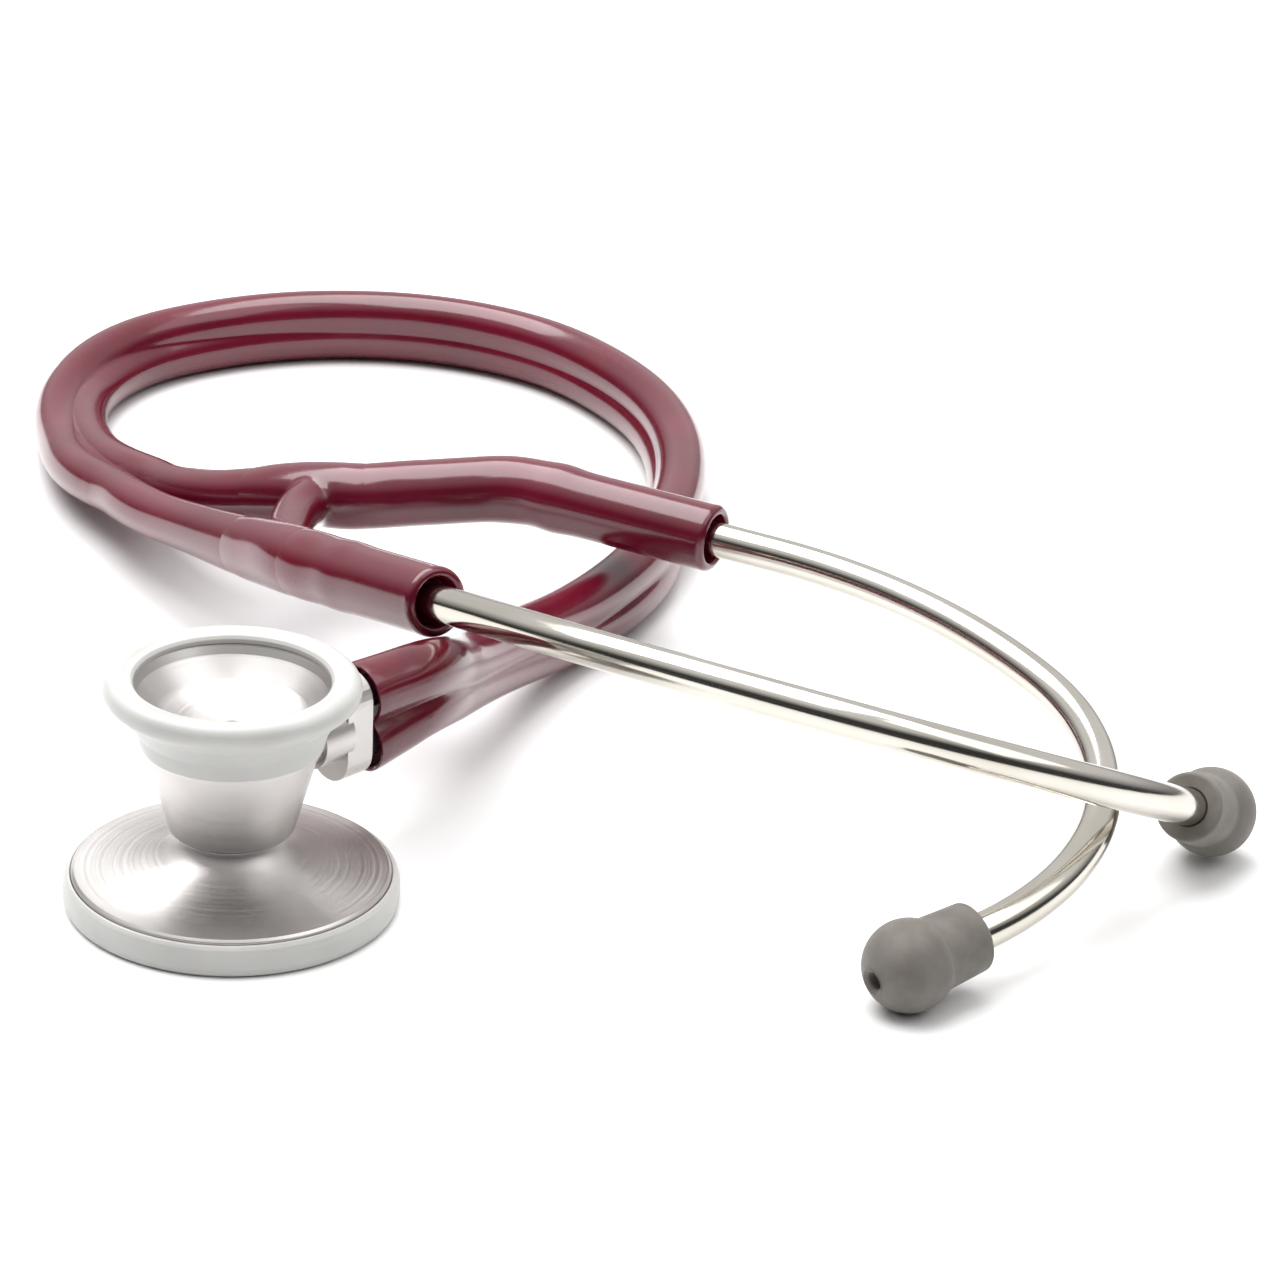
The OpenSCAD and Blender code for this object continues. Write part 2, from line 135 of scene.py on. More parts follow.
def skin(name, grid, closed=False, place=None):
    # closed mesh over rows of rings: quads between rows, and either the last row joins the first
    # or a fan closes each end; u goes round and v is the length along in metres
    rows, around = grid.shape[:2]
    i, k = np.meshgrid(np.arange(rows if closed else rows - 1), np.arange(around), indexing="ij")
    ahead, on = (i + 1) % rows, (k + 1) % around
    quads = np.stack([i * around + k, i * around + on, ahead * around + on, ahead * around + k], -1)
    points, corners = grid.reshape(-1, 3), quads.reshape(-1)
    starts = 4 * np.arange(len(corners) // 4)
    run = lengthAlong(grid.mean(axis=1)) + lengthAlong(grid[:, 0])
    u = np.stack([k, k + 1, k + 1, k], -1).reshape(-1) / around
    v = np.stack([run[i], run[i], run[ahead], run[ahead]], -1).reshape(-1) / 2
    if not closed:
        points = np.concatenate([points, grid[[0, -1]].mean(axis=1)])
        k = np.arange(around)
        on, last, middle = (k + 1) % around, (rows - 1) * around, rows * around
        fans = np.concatenate([np.stack([np.full(around, middle), on, k], -1),
                               np.stack([np.full(around, middle + 1), last + k, last + on], -1)])
        starts = np.concatenate([starts, len(corners) + 3 * np.arange(len(fans))])
        corners = np.concatenate([corners, fans.reshape(-1)])
        u = np.concatenate([u, np.zeros(fans.size)])
        v = np.concatenate([v, np.repeat(run[[0, -1]] / 2, fans.size // 2)])
    if place is not None:
        turn = np.array(place)
        points = points @ turn[:3, :3].T + turn[:3, 3]
    mesh = bpy.data.meshes.new(name)
    mesh.vertices.add(len(points))
    mesh.vertices.foreach_set("co", (points * mm).astype(np.float32).reshape(-1))
    mesh.loops.add(len(corners))
    mesh.loops.foreach_set("vertex_index", corners.astype(np.int32))
    mesh.polygons.add(len(starts))
    mesh.polygons.foreach_set("loop_start", starts.astype(np.int32))
    mesh.update(calc_edges=True)
    lay = mesh.uv_layers.new(name="lay")
    lay.data.foreach_set("uv", np.stack([u, v * mm], -1).astype(np.float32).reshape(-1))
    mesh.polygons.foreach_set("use_smooth", np.ones(len(starts), bool))
    mesh.set_sharp_from_angle(angle=creaseAngle)
    piece = bpy.data.objects.new(name, mesh)
    bpy.context.scene.collection.objects.link(piece)
    return piece


def turned(name, outline, around=128, closed=False, place=None):
    # outline (radius, height) turned about Z: x = r cos a, y = r sin a, z = height
    a = 2 * pi * np.arange(around) / around
    r, z = outline[:, :1], outline[:, 1:]
    grid = np.stack([r * np.cos(a), r * np.sin(a), z + 0 * a], -1)
    return skin(name, grid, closed, place)


def placed(turn, at):
    # matrix for roll, rise and direction in degrees and then a move in mm, local X running ahead
    roll, rise, direction = [radians(a) for a in turn]
    return (Matrix.Translation(at) @ Matrix.Rotation(direction, 4, "Z")
            @ Matrix.Rotation(-rise, 4, "Y") @ Matrix.Rotation(roll, 4, "X"))


def moved(matrix, points):
    # points turned by the matrix and then shifted by its last column
    m = np.array(matrix)
    p = np.asarray(points, float)
    return p @ m[:3, :3].T + m[:3, 3]


def applyModifiers(piece):
    # swaps the mesh for the one its modifiers make
    bpy.context.view_layer.update()
    whole = bpy.data.meshes.new_from_object(piece.evaluated_get(bpy.context.evaluated_depsgraph_get()))
    piece.modifiers.clear()
    piece.data = whole


def finishPiece(piece, material, body, slot, *nodes):
    # gives a piece its material and the body that carries it, and hides the CAD nodes it stands for; slot is
    # not used
    piece.data.materials.append(material)
    if body:
        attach(piece, body)
    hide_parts(*nodes)
    return piece


def linear(text):
    # sRGB hex to the linear values that shader sockets take
    parts = np.array([int(text[i:i + 2], 16) / 255 for i in (1, 3, 5)])
    values = np.where(parts <= 0.04045, parts / 12.92, ((parts + 0.055) / 1.055) ** 2.4)
    return (*[float(v) for v in values], 1.0)


def addNode(tree, kind, settings=(), links=()):
    # adds a node, sets its properties or sockets, and links sockets by name
    node = tree.nodes.new("ShaderNode" + kind)
    for key, value in dict(settings).items():
        if isinstance(key, str) and hasattr(node, key):
            setattr(node, key, value)
        else:
            node.inputs[key].default_value = value
    for key, source in dict(links).items():
        tree.links.new(source, node.inputs[key])
    return node


def newMaterial(name, **sockets):
    # a material with its shader's sockets set by name, underscores standing for spaces
    material = bpy.data.materials.new(name)
    material.use_nodes = True
    shader = material.node_tree.nodes["Principled BSDF"]
    for key, value in sockets.items():
        shader.inputs[key.replace("_", " ")].default_value = value
    material.diffuse_color = sockets.get("Base_Color", (0.8, 0.8, 0.8, 1))
    return material, material.node_tree, shader


# noise seldom leaves this range, so the range is spread over each pair of colours and roughnesses
noiseSpan = (0.3, 0.7)


def finishSurface(tree, shader, look, cloud, marks, height):
    # cloud runs between the two colours, marks between the two roughnesses, and height stands up
    # by depth millimetres times relief
    ramp = addNode(tree, "ValToRGB", {}, {"Fac": cloud})
    for element, at, colour in zip(ramp.color_ramp.elements, noiseSpan, look["colours"]):
        element.position = at
        element.color = linear(colour)
    spread = addNode(tree, "MapRange", {"From Min": noiseSpan[0], "From Max": noiseSpan[1],
                                        "To Min": look["rough"][0], "To Max": look["rough"][1]},
                     {"Value": marks})
    raised = addNode(tree, "Bump", {"Strength": look["relief"], "Distance": look["depth"] * mm},
                     {"Height": height})
    tree.links.new(ramp.outputs["Color"], shader.inputs["Base Color"])
    tree.links.new(spread.outputs["Result"], shader.inputs["Roughness"])
    tree.links.new(raised.outputs["Normal"], shader.inputs["Normal"])


# in each look, cloud, peel, rings, blast and fine are features to a millimetre; draw lines and
# hairlines are scales round the piece and along each metre of it
vinylLook = dict(base="#5D0B20", colours=("#560A1D", "#640D24"), rough=(0.15, 0.24), relief=0.07, depth=0.05,
                 cloud=0.06, peel=1.1, drawLines=(34, 30, 1))


def burgundyVinyl():
    # flexible PVC, extruded and dip moulded: deep wine colour under a wet gloss, with the faint
    # lengthwise draw lines and orange peel of a thick soft skin
    v = vinylLook
    material, tree, shader = newMaterial("burgundyVinyl", Base_Color=linear(v["base"]), Roughness=0.22,
                                         IOR=1.52, Coat_Weight=0.4, Coat_Roughness=0.06)
    place = addNode(tree, "TexCoord").outputs["Object"]
    lay = addNode(tree, "UVMap", {"uv_map": "lay"}).outputs["UV"]
    cloud = addNode(tree, "TexNoise", {"Scale": v["cloud"] / mm, "Detail": 2.0}, {"Vector": place})
    peel = addNode(tree, "TexNoise", {"Scale": v["peel"] / mm, "Detail": 3.0}, {"Vector": place})
    lines = addNode(tree, "Mapping", {"Scale": v["drawLines"]}, {"Vector": lay})
    drawn = addNode(tree, "TexNoise", {"Scale": 1.0, "Detail": 2.0}, {"Vector": lines.outputs["Vector"]})
    both = addNode(tree, "Math", {"operation": "ADD"}, {0: drawn.outputs["Fac"], 1: peel.outputs["Fac"]})
    finishSurface(tree, shader, v, cloud.outputs["Fac"], peel.outputs["Fac"], both.outputs[0])
    return material


steelLook = dict(base="#D2CEC6", colours=("#C6C1B7", "#D3CFC7"), rough=(0.09, 0.17), relief=0.16, depth=0.02,
                 cloud=0.05, hairlines=(110, 60, 1))


def polishedSteel():
    # 18/8 stainless tube, bent and polished along its length: bright, a trace of warmth and
    # hairlines that smear reflections lengthwise
    v = steelLook
    material, tree, shader = newMaterial("polishedSteel", Base_Color=linear(v["base"]), Metallic=1.0,
                                         Roughness=0.17)
    place = addNode(tree, "TexCoord").outputs["Object"]
    lay = addNode(tree, "UVMap", {"uv_map": "lay"}).outputs["UV"]
    cloud = addNode(tree, "TexNoise", {"Scale": v["cloud"] / mm, "Detail": 2.0}, {"Vector": place})
    lines = addNode(tree, "Mapping", {"Scale": v["hairlines"]}, {"Vector": lay})
    hair = addNode(tree, "TexNoise", {"Scale": 1.0, "Detail": 3.0}, {"Vector": lines.outputs["Vector"]})
    finishSurface(tree, shader, v, cloud.outputs["Fac"], hair.outputs["Fac"], hair.outputs["Fac"])
    return material


satinLook = dict(base="#C8C4C2", colours=("#C2BEBC", "#CCC9C7"), rough=(0.32, 0.42), relief=0.12, depth=0.03,
                 cloud=0.12, rings=2, blast=3)


def turnedSteel():
    # stainless steel turned on a lathe and bead blasted: pale satin with faint rings about the axis,
    # drawn every half millimetre so that they show; a ring follows the distance from Z plus z
    v = satinLook
    material, tree, shader = newMaterial("turnedSteel", Base_Color=linear(v["base"]), Metallic=1.0,
                                         Roughness=0.36)
    place = addNode(tree, "TexCoord").outputs["Object"]
    axes = addNode(tree, "SeparateXYZ", {}, {0: place})
    flat = addNode(tree, "CombineXYZ", {}, {0: axes.outputs[0], 1: axes.outputs[1]})
    away = addNode(tree, "VectorMath", {"operation": "LENGTH"}, {0: flat.outputs[0]})
    both = addNode(tree, "Math", {"operation": "ADD"}, {0: away.outputs["Value"], 1: axes.outputs[2]})
    ring = addNode(tree, "Math", {"operation": "MULTIPLY", 1: v["rings"] / mm}, {0: both.outputs[0]})
    wave = addNode(tree, "TexNoise", {"noise_dimensions": "1D", "Scale": 1.0, "Detail": 2.0},
                   {"W": ring.outputs[0]})
    blast = addNode(tree, "TexNoise", {"Scale": v["blast"] / mm, "Detail": 2.0}, {"Vector": place})
    cloud = addNode(tree, "TexNoise", {"Scale": v["cloud"] / mm, "Detail": 2.0}, {"Vector": place})
    mixed = addNode(tree, "Math", {"operation": "ADD"}, {0: wave.outputs["Fac"], 1: blast.outputs["Fac"]})
    finishSurface(tree, shader, v, cloud.outputs["Fac"], wave.outputs["Fac"], mixed.outputs[0])
    return material


def mottled(name, look, **sockets):
    # a moulded, plated or sheet surface: a broad cloud in its colour, and a fine grain that varies
    # its roughness and stands up a little; without a cloud of its own the grain does both
    material, tree, shader = newMaterial(name, Base_Color=linear(look["base"]), **sockets)
    place = addNode(tree, "TexCoord").outputs["Object"]
    fine = addNode(tree, "TexNoise", {"Scale": look["fine"] / mm, "Detail": 3.0}, {"Vector": place})
    cloud = fine
    if "cloud" in look:
        cloud = addNode(tree, "TexNoise", {"Scale": look["cloud"] / mm, "Detail": look["cloudDetail"]},
                        {"Vector": place})
    finishSurface(tree, shader, look, cloud.outputs["Fac"], fine.outputs["Fac"], fine.outputs["Fac"])
    return material


# non-chill rings of soft off-white PVC: smooth, a little waxy
ringLook = dict(base="#BDBDBA", colours=("#B9B9B6", "#C3C3C0"), rough=(0.31, 0.42), relief=0.15, depth=0.03,
                cloud=0.1, cloudDetail=2.0, fine=1.6)
# compression moulded silicone rubber: warm grey and matte, with a powdery bloom that lightens edges
siliconeLook = dict(base="#6B6660", colours=("#635E57", "#746F69"), rough=(0.54, 0.7), relief=0.3,
                    depth=0.03, cloud=0.25, cloudDetail=4.0, fine=2.5)
# small fittings: nickel plate, blued spring steel, nitrile rubber and glass fibre sheet
nickelLook = dict(base="#B9B4AA", colours=("#B9B4AA", "#CDC9C1"), rough=(0.2, 0.34), relief=0.15, depth=0.02,
                  fine=1.2)
springLook = dict(base="#4A4D55", colours=("#4A4D55", "#5E626B"), rough=(0.3, 0.45), relief=0.15, depth=0.02,
                  fine=0.8)
rubberLook = dict(base="#17171A", colours=("#17171A", "#222226"), rough=(0.5, 0.65), relief=0.15, depth=0.02,
                  fine=1.5)
fibreLook = dict(base="#E7E4D8", colours=("#E7E4D8", "#F1EFE6"), rough=(0.28, 0.4), relief=0.15, depth=0.02,
                 fine=1.6)

vinyl = burgundyVinyl()
steel = polishedSteel()
satin = turnedSteel()
ringVinyl = mottled("softRing", ringLook, Roughness=0.36, IOR=1.5, Subsurface_Weight=0.15,
                    Subsurface_Scale=0.0015)
silicone = mottled("greySilicone", siliconeLook, Roughness=0.62, IOR=1.42, Sheen_Weight=0.12,
                   Sheen_Roughness=0.5, Subsurface_Weight=0.05, Subsurface_Scale=0.001)
nickel = mottled("nickelPlate", nickelLook, Metallic=1.0)
springSteel = mottled("bluedSpringSteel", springLook, Metallic=1.0)
rubber = mottled("nitrileRubber", rubberLook, IOR=1.52)
glassFibre = mottled("glassFibreSheet", fibreLook, IOR=1.55)
print("materials mixed")


# the stem leaves the chestpiece level, and the socket is the tubing's end over its nipples
stem = dict(direction=47, height=21.0, socketStart=24.6, socketEnd=34.6)
twin = dict(
    nippleGap=8.0, socketWide=9.4, neckGap=6.2, neckWide=9.0, neckRise=0.7, wide=8.4, splitWide=7.7,
    valley=0.3, around=80, step=1.0,
    # how the width eases from the neck over the first rows and into the split over the last
    neckEase=[0.6, 0.2], splitEase=[0, 0.4, 0.55, 0.75, 1],
    # depth and width of the rings inside the open end, from the recess out, and its rounded edge
    mouth=[(2.6, 7.7), (0.25, 8.0), (0, 8.6)], edgeStep=0.06, edgeScale=0.985,
    # x, y, z, lean of the upper bore and bore spacing, in mm and degrees
    route=[(27.2, 32.4, 20.3, 0, 5), (29.4, 42, 16.9, 0, 4.3), (32.6, 54, 13.6, 0, 4.2),
           (38.5, 69.5, 10, 0, 4.2), (44.5, 82.5, 7.4, 5, 4.2), (51, 95, 6.5, 12, 4.2),
           (56.4, 108, 6.4, 10, 4.2), (60.2, 126, 6.4, -10, 4.2), (61.8, 147, 6.3, -22, 4.2),
           (60.6, 163, 6.3, -20, 4.2), (56.4, 178, 6.4, -12, 4.2), (49, 191.5, 6.4, -6, 4.2),
           (38.5, 203.5, 6.4, 0, 4.2), (26, 211, 6.4, 0, 4.2), (13, 214.5, 6.4, 0, 4.2),
           (0, 214.5, 6.4, 0, 4.2), (-12.5, 211.5, 6.4, -5, 4.2), (-24.5, 205.6, 6.3, -12, 4.2),
           (-34.5, 197.2, 6.2, -25, 4.2), (-41.2, 186.2, 5.8, -45, 4.2), (-44, 172.8, 5.1, -70, 4.2),
           (-41.9, 157, 5.2, -88, 4.8), (-36.5, 140.5, 7.2, -90, 6.6), (-28, 127, 9.5, -90, 8.2)])


def alongStem(x):
    # the point x mm out from the chestpiece's axis along the stem
    a = radians(stem["direction"])
    return np.array([x * cos(a), x * sin(a), stem["height"]])


def twinAxes(path, lean):
    # a points from the lower bore to the upper one and b square to it, both square to the way
    way = unit(np.gradient(path, axis=0))
    left = unit(np.cross([0, 0, 1], way))
    up = np.cross(way, left)
    c, s = np.cos(lean)[:, None], np.sin(lean)[:, None]
    return c * up + s * left, c * left - s * up


def twinOutline(gap, wide, valley, around):
    # two round bores in one skin: with q = gap / 2 + r cos s, the outline is x = r sin s and
    # y = sqrt(q^2 - valley^2), which rounds the valley between them; points are evenly spaced
    r = wide / 2
    fine = 300
    s = np.arccos((valley - gap / 2) / r) * np.sin(np.linspace(0, pi / 2, fine))
    y = np.sqrt(np.maximum((gap / 2 + r * np.cos(s)) ** 2 - valley ** 2, 0))
    y[-1] = 0
    right = np.concatenate([np.stack([r * np.sin(s), y], -1), np.stack([r * np.sin(s), -y], -1)[-2::-1]])
    reach = lengthAlong(right)
    want = np.linspace(0, reach[-1], around // 2 + 1)[:-1]
    half = np.stack([np.interp(want, reach, column) for column in right.T], -1)
    return np.concatenate([half, -half])


def onPath(outline, b, a):
    # outline (x, y) with x against b and y along a
    return outline[:, 1:] * a - outline[:, :1] * b


def makeTubing():
    # the twin outline carried from the socket round the loop to the split; also gives the path and
    # the two bores' own paths
    t = twin
    rise = np.linspace(0, 1, 4)[:, None]
    ahead = unit(alongStem(1) - alongStem(0))
    socket = np.concatenate([
        alongStem(stem["socketStart"]) + (stem["socketEnd"] - stem["socketStart"]) * rise * ahead
        + t["neckRise"] * rise * [0, 0, 1], 0 * rise,
        t["nippleGap"] + (t["neckGap"] - t["nippleGap"]) * rise,
        t["socketWide"] + (t["neckWide"] - t["socketWide"]) * rise], axis=1)
    route = np.array(t["route"])
    wide = np.full(len(route), t["wide"])
    wide[:2] = t["wide"] + (t["neckWide"] - t["wide"]) * np.array(t["neckEase"])
    wide[-5:] = t["wide"] + (t["splitWide"] - t["wide"]) * np.array(t["splitEase"])
    rows = spline(np.concatenate([socket, np.concatenate([route, wide[:, None]], axis=1)]), t["step"])
    path = rows[:, :3]
    a, b = twinAxes(path, np.radians(rows[:, 3]))
    outer = np.stack([path[k] + onPath(twinOutline(gap, w, t["valley"], t["around"]), b[k], a[k])
                      for k, (gap, w) in enumerate(rows[:, 4:6])])
    inner = np.stack([path[0] + depth * ahead
                      + onPath(twinOutline(t["nippleGap"], w, t["valley"], t["around"]), b[0], a[0])
                      for depth, w in t["mouth"]])
    outer[0] = path[0] + t["edgeStep"] * ahead + (outer[0] - path[0]) * t["edgeScale"]
    tube = skin("tubing", np.concatenate([inner, outer]))
    half = a * rows[:, 4:5] / 2
    return tube, path, path + half, path - half


tube, tubePath, upperBore, lowerBore = makeTubing()
finishPiece(tube, vinyl, "tubing", "pvc", "main_tube", "tube_socket")
print(f"tubing laid, {lengthAlong(tubePath)[-1]:.0f} mm")


# each arm of the yoke follows a bore of the tubing, leaves it at the split, and runs through a branch
# and a leg out to a lip and back down its own bore
arm = dict(
    overlap=64, every=7, inside=4.05, lobe=4.18, lobeAt=14, branch=3.9, thinShare=0.3, hinge=5.35,
    around=64, step=1.0, lipLong=1.5, lipSwell=0.1, mouth=3.95, mouthDeep=3.0, mouthTaper=0.3, shoulder=0.6,
    bore=2.86, boreDeep=26.5, blendBack=4.0, blendAhead=9.0,
    # the stretch about the hinge that the bridge's skin covers, and how far the arm draws in there
    reach=23, past=5, taper=9, tuck=0.3)
frontArm = dict(
    route=[(-27.8, 117.6, 10.8), (-22.3, 108.6, 12.4), (-16.8, 100.6, 14.2), (-10.3, 91.3, 16.4),
           (-5, 83.6, 18.4), (-0.5, 76.4, 20.6)],
    end=(26.6, 41, 29.4), turn=(-24.5, 10.5, -51), straight=36.5, elbow=None, push=0, pipeTurn=0,
    # distance from the end, height and width of each lump
    lumps=[(23, 0.2, 3), (33, 0.15, 4)])
backArm = dict(
    route=[(-21.1, 123.2, 11), (-17, 117.8, 12.9), (-12, 113, 14.8), (-6.8, 109.5, 16.5),
           (-1.2, 106.4, 18.2), (4.4, 104, 19.3)],
    end=(68, 88.8, 21), turn=(-25.8, -1, -26.5), straight=30,
    elbow=dict(angle=33, radius=20, run=19.5, roll=8.2), push=2.8, pipeTurn=214.3,
    lumps=[(28, 0.35, 3), (36, 0.15, 4)])


def legLine(side):
    # centreline of a leg from its hinge to its end: a straight run and an arc, where it has an
    # elbow, then a straight sleeve, in the leg's own frame, with its end as origin and X out of it
    straight, elbow, roll = side["straight"], side["elbow"], 0
    points = [(-straight * k / 5, 0, 0) for k in range(6)]
    if elbow:
        angle, r, run, roll = radians(elbow["angle"]), elbow["radius"], elbow["run"], elbow["roll"]
        points += [(-straight - r * sin(t), -r * (1 - cos(t)), 0) for t in angle * np.linspace(0, 1, 5)[1:]]
        x, y = points[-1][:2]
        points += [(x - k * cos(angle) * run / 3, y - k * sin(angle) * run / 3, 0) for k in (1, 2, 3)]
    return moved(placed((roll, *side["turn"][1:]), side["end"]), points[::-1])


def armShape(side, bore):
    # path of an arm, the lengths along it, its radius there and where its hinge lies: it comes out
    # of the twin tube's skin, thins to the branch, swells smoothly to the hinge and then stays,
    # with soft lumps over the spring
    leg = legLine(side)
    path = spline(np.concatenate([bore[-arm["overlap"]::arm["every"]], side["route"], leg]), arm["step"])
    total = lengthAlong(path)[-1]
    hinge = total - lengthAlong(leg)[-1]
    s = np.linspace(0, total - arm["lipLong"], int(total))
    thin = arm["overlap"] + (hinge - arm["overlap"]) * arm["thinShare"]
    r = np.interp(s, [0, arm["lobeAt"], arm["overlap"], thin],
                  [arm["inside"], arm["lobe"], arm["branch"], arm["branch"]])
    swell = np.clip((s - thin) / (hinge - thin), 0, 1)
    r = r + (arm["hinge"] - arm["branch"]) * swell * swell * (3 - 2 * swell)
    for at, high, wide in side["lumps"]:
        r = r + high * np.exp(-((total - s - at) / wide) ** 2)
    return dict(path=path, along=s, radius=r, hinge=hinge, leg=leg)


def sleeved(s, hinge):
    # 0 outside the stretch that the bridge's skin covers, rising to 1 inside it
    return np.clip(np.minimum(s - hinge + arm["reach"], hinge + arm["past"] - s) / arm["taper"], 0, 1)


def makeArm(name, side, shape):
    # circles along the arm's path, then a rounded lip, a shoulder and the bore going back inside
    s = shape["along"]
    r = shape["radius"] - arm["tuck"] * sleeved(s, shape["hinge"]) ** 2
    total = s[-1] + arm["lipLong"]
    shoulder = total - arm["mouthDeep"]
    lip = bend([(s[-1], r[-1], 0), (total, r[-1] + arm["lipSwell"], 1.0), (total, arm["mouth"], 0.5),
                (shoulder, arm["mouth"] - arm["mouthTaper"], 0.3),
                (shoulder - arm["shoulder"], arm["bore"], 0.2),
                (total - arm["boreDeep"] - side["push"], arm["bore"], 0)])
    return skin(name, rings(shape["path"], np.concatenate([s[:-1], lip[:, 0]]),
                            np.concatenate([r[:-1], lip[:, 1]]), arm["around"]))


def blendArm(piece):
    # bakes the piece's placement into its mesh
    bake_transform(piece)


frontShape = armShape(frontArm, upperBore)
backShape = armShape(backArm, lowerBore)
yokeFront = makeArm("yokeFront", frontArm, frontShape)
yokeBack = makeArm("yokeBack", backArm, backShape)
finishPiece(yokeFront, vinyl, None, "pvc", "leg_front", "yoke")
finishPiece(yokeBack, vinyl, None, "pvc", "leg_back")
blendArm(yokeFront)
blendArm(yokeBack)

bridge = dict(
    # from inside the back arm round the bow of the spring into the front arm
    route=[(9, 102.6, 19.8), (5.4, 101.8, 19.6), (2.6, 98.8, 19.5), (1.2, 94, 19.5), (0.8, 88, 19.8),
           (0.9, 82, 20.2), (1.9, 76, 21), (3.6, 70, 22)],
    waist=3.7, ends=4.3, power=2.2, around=64, step=0.5,
    # how far its skin lies outside the arms, and how much it sinks into them at its edges
    spare=0.16, sink=0.5, voxel=0.35, smoothing=0.5, passes=30)


def makeBridge():
    # a tube whose radius flares from its waist, joined with a stretch of each arm in one skin of
    # small cells and then smoothed, which fills the creases between them with fillets
    q = bridge
    path = spline(q["route"], q["step"])
    s = lengthAlong(path)
    away = np.abs(2 * s / s[-1] - 1)
    parts = [rings(path, s, q["waist"] + (q["ends"] - q["waist"]) * away ** q["power"], q["around"])]
    for shape in (frontShape, backShape):
        s, hinge = shape["along"], shape["hinge"]
        near = (s > hinge - arm["reach"]) & (s < hinge + arm["past"])
        under = q["sink"] * (1 - sleeved(s[near], hinge)) ** 2
        parts.append(rings(shape["path"], s[near], shape["radius"][near] + q["spare"] - under, q["around"]))
    joined = bmesh.new()
    for part in parts:
        piece = skin("part", part)
        joined.from_mesh(piece.data)
        bpy.data.objects.remove(piece)
    mesh = bpy.data.meshes.new("yokeBridge")
    joined.to_mesh(mesh)
    joined.free()
    piece = bpy.data.objects.new("yokeBridge", mesh)
    bpy.context.scene.collection.objects.link(piece)
    cells = piece.modifiers.new("cells", "REMESH")
    cells.mode, cells.voxel_size = "VOXEL", q["voxel"] * mm
    smooth = piece.modifiers.new("smooth", "SMOOTH")
    smooth.factor, smooth.iterations = q["smoothing"], q["passes"]
    applyModifiers(piece)
    piece.data.polygons.foreach_set("use_smooth", np.ones(len(piece.data.polygons), bool))
    return piece


finishPiece(makeBridge(), vinyl, "tubing", "pvc", "yoke")
print("yoke moulded")


# an ear pipe from its grip in the leg to the end that the ear tip holds
pipe = dict(radius=2.8, wall=0.7, grip=26, run=13, longRadius=100, longBend=32, tightRadius=48,
            tightBend=84, tail=2, held=5, around=48, step=1.0, fine=0.25, edge=0.2)


def pipeLine():
    # bent in one plane: the heading stays, turns evenly through each bend and stays again, and the
    # place is its running sum
    p = pipe
    first, second = radians(p["longBend"]), radians(p["tightBend"])
    marks = np.cumsum([0, p["grip"] + p["run"], p["longRadius"] * first, p["tightRadius"] * second,
                       p["tail"] + p["held"]])
    s = np.linspace(0, marks[-1], int(marks[-1] / p["fine"]))
    heading = np.interp((s[1:] + s[:-1]) / 2, marks, [0, 0, first, first + second, first + second])
    steps = np.diff(s)[:, None] * np.stack([np.cos(heading), np.sin(heading), 0 * heading], -1)
    points = np.concatenate([[[0, 0, 0]], np.cumsum(steps, axis=0)]) - [p["grip"], 0, 0]
    return points, heading[-1]


pipePoints, tipHeading = pipeLine()


def makePipe(name, place):
    # one closed skin, out along the outside and back along the inside, with its edges broken
    p = pipe
    total = lengthAlong(pipePoints)[-1]
    e, outside, inside = p["edge"], p["radius"], p["radius"] - p["wall"]
    s = np.linspace(2 * e, total - 2 * e, int(total / p["step"]))
    stations = np.concatenate([[0, e], s, [total - e, total, total, total - e], s[::-1], [e, 0]])
    radii = np.concatenate([[outside - e, outside], np.full(len(s), outside),
                            [outside, outside - e, inside + e, inside], np.full(len(s), inside),
                            [inside, inside + e]])
    return skin(name, rings(pipePoints, stations, radii, p["around"]), closed=True, place=place)


tip = dict(collar=5.1, neck=5.4, neckAt=6.5, dome=6.65, domeAt=11.3, domeFrom=-35, domeTo=74, crown=14,
           flare=1.9, hole=1.3, holeEnd=9.8, throat=2.75, throatFrom=9.3, throatTo=6, cavity=3.4,
           cavityFrom=5.9, cavityTo=5, mouth=2.86, mouthFrom=4.9, mouthTo=0.6, steps=28, around=96)


def makeTip(name, place):
    # collar, waist and dome in one closed outline that returns down the hole and its cavity
    t = tip
    top = t["domeAt"] + t["dome"] * cos(radians(t["crown"]))
    collar = bend([(t["mouth"], t["mouthTo"], 0), (t["mouth"], 0, 0.25), (t["collar"], 0, 0.55),
                   (t["neck"], t["neckAt"], 0)])
    ball = arc((0, t["domeAt"]), t["dome"], t["domeFrom"], t["domeTo"], t["steps"])
    inside = bend([(t["flare"], top + 0.1, 0), (t["hole"], top - 0.35, 0.5), (t["hole"], t["holeEnd"], 0.3),
                   (t["throat"], t["throatFrom"], 0.2), (t["throat"], t["throatTo"], 0),
                   (t["cavity"], t["cavityFrom"], 0), (t["cavity"], t["cavityTo"], 0),
                   (t["mouth"], t["mouthFrom"], 0)])
    return turned(name, np.concatenate([collar, ball, inside]), around=t["around"], closed=True,
                  place=place @ Matrix.Rotation(pi / 2, 4, "Y"))


